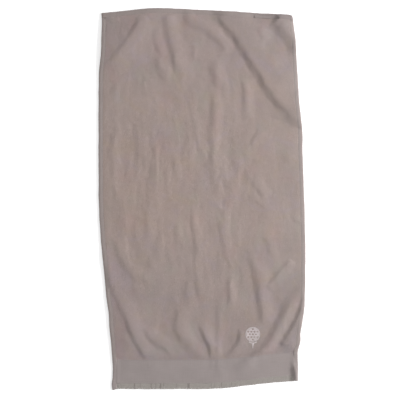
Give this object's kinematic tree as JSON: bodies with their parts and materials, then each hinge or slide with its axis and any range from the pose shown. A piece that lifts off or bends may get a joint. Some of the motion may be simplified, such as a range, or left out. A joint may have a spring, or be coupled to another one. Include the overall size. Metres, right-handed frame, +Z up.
{
  "type": "golf towel",
  "caption": "Rectangular cotton terry golf towel laid out flat, with a flat-woven border and short cut fringe at one end, turned hems and a small embroidered ball-on-tee motif.",
  "frame": {"origin": "centre of the towel's outline, on the table it lies on", "axes": "+Y along the towel, towards the plain hemmed end; +Z up out of the face with the motif; +X across it, towards the side with the motif"},
  "size_m": [0.517, 0.9522, 0.0057],
  "materials": {
    "terry": "cotton loop pile, warm taupe grey, matte",
    "flat_weave": "pile-free plain weave, taupe grey, matte",
    "fringe_yarn": "cut two-ply cotton warp ends, matte",
    "sewing_thread": "spun polyester thread, slight sheen",
    "embroidery_thread": "rayon satin stitch, pale pinkish white, soft sheen",
    "stabiliser": "non-woven tear-away backing, matte",
    "label_tape": "woven satin tape, blank"
  },
  "bodies": {
    "upper_half": {"terry_panel_upper": "terry", "top_hem": "flat_weave", "left_hem_upper": "flat_weave", "right_hem_upper": "flat_weave", "top_hem_stitching": "sewing_thread", "left_hem_stitching_upper": "sewing_thread", "right_hem_stitching_upper": "sewing_thread", "care_label": "label_tape", "care_label_stitching": "sewing_thread"},
    "lower_half": {"terry_panel_lower": "terry", "left_hem_lower": "flat_weave", "right_hem_lower": "flat_weave", "left_hem_stitching_lower": "sewing_thread", "right_hem_stitching_lower": "sewing_thread", "border_band": "flat_weave", "border_fringe": "fringe_yarn", "fringe_lock_stitching": "sewing_thread", "motif_ball": "embroidery_thread", "motif_tee": "embroidery_thread", "motif_backing": "stabiliser"}
  },
  "joints": [
    {"name": "half_fold", "type": "hinge", "parent": "upper_half", "child": "lower_half", "pos_m": [0, 0, 0.01], "axis": [-1, 0, 0], "range_deg": [0, 180]}
  ]
}
